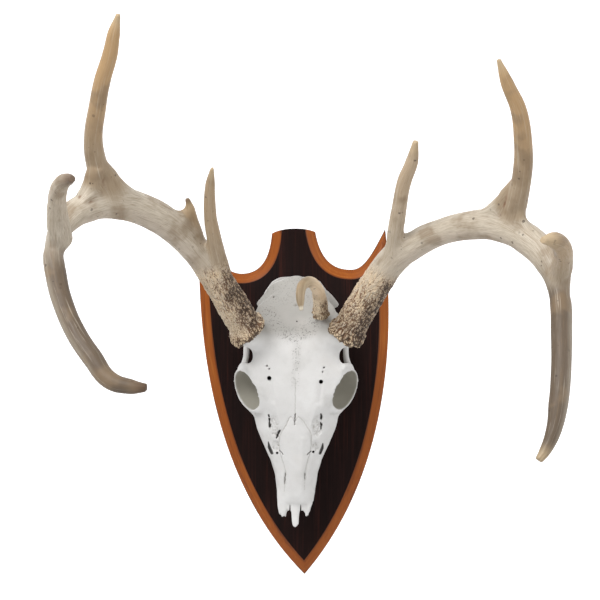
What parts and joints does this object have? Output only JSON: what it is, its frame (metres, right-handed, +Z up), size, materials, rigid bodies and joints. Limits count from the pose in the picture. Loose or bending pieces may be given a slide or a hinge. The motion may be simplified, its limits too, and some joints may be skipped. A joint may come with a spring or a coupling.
{
  "type": "deer skull mount",
  "caption": "Bleached deer skull with branching antlers and a small extra horn-like antler, fixed nose down on a dark stained wooden shield that hangs flat on a wall.",
  "frame": {"origin": "on the flat back of the shield, behind the skull, in the wall's plane", "axes": "+Y into the wall, -Y the way the skull faces, +X to the viewer's right, +Z up"},
  "size_m": [0.4711, 0.3848, 0.5279],
  "materials": {
    "bone": "bleached matt bone, with tan grained antlers",
    "stained_wood": "near-black brown stain with a satin orange-brown chamfer"
  },
  "bodies": {
    "root": {"skull_with_antlers": "bone", "shield_board": "stained_wood"}
  },
  "joints": []
}
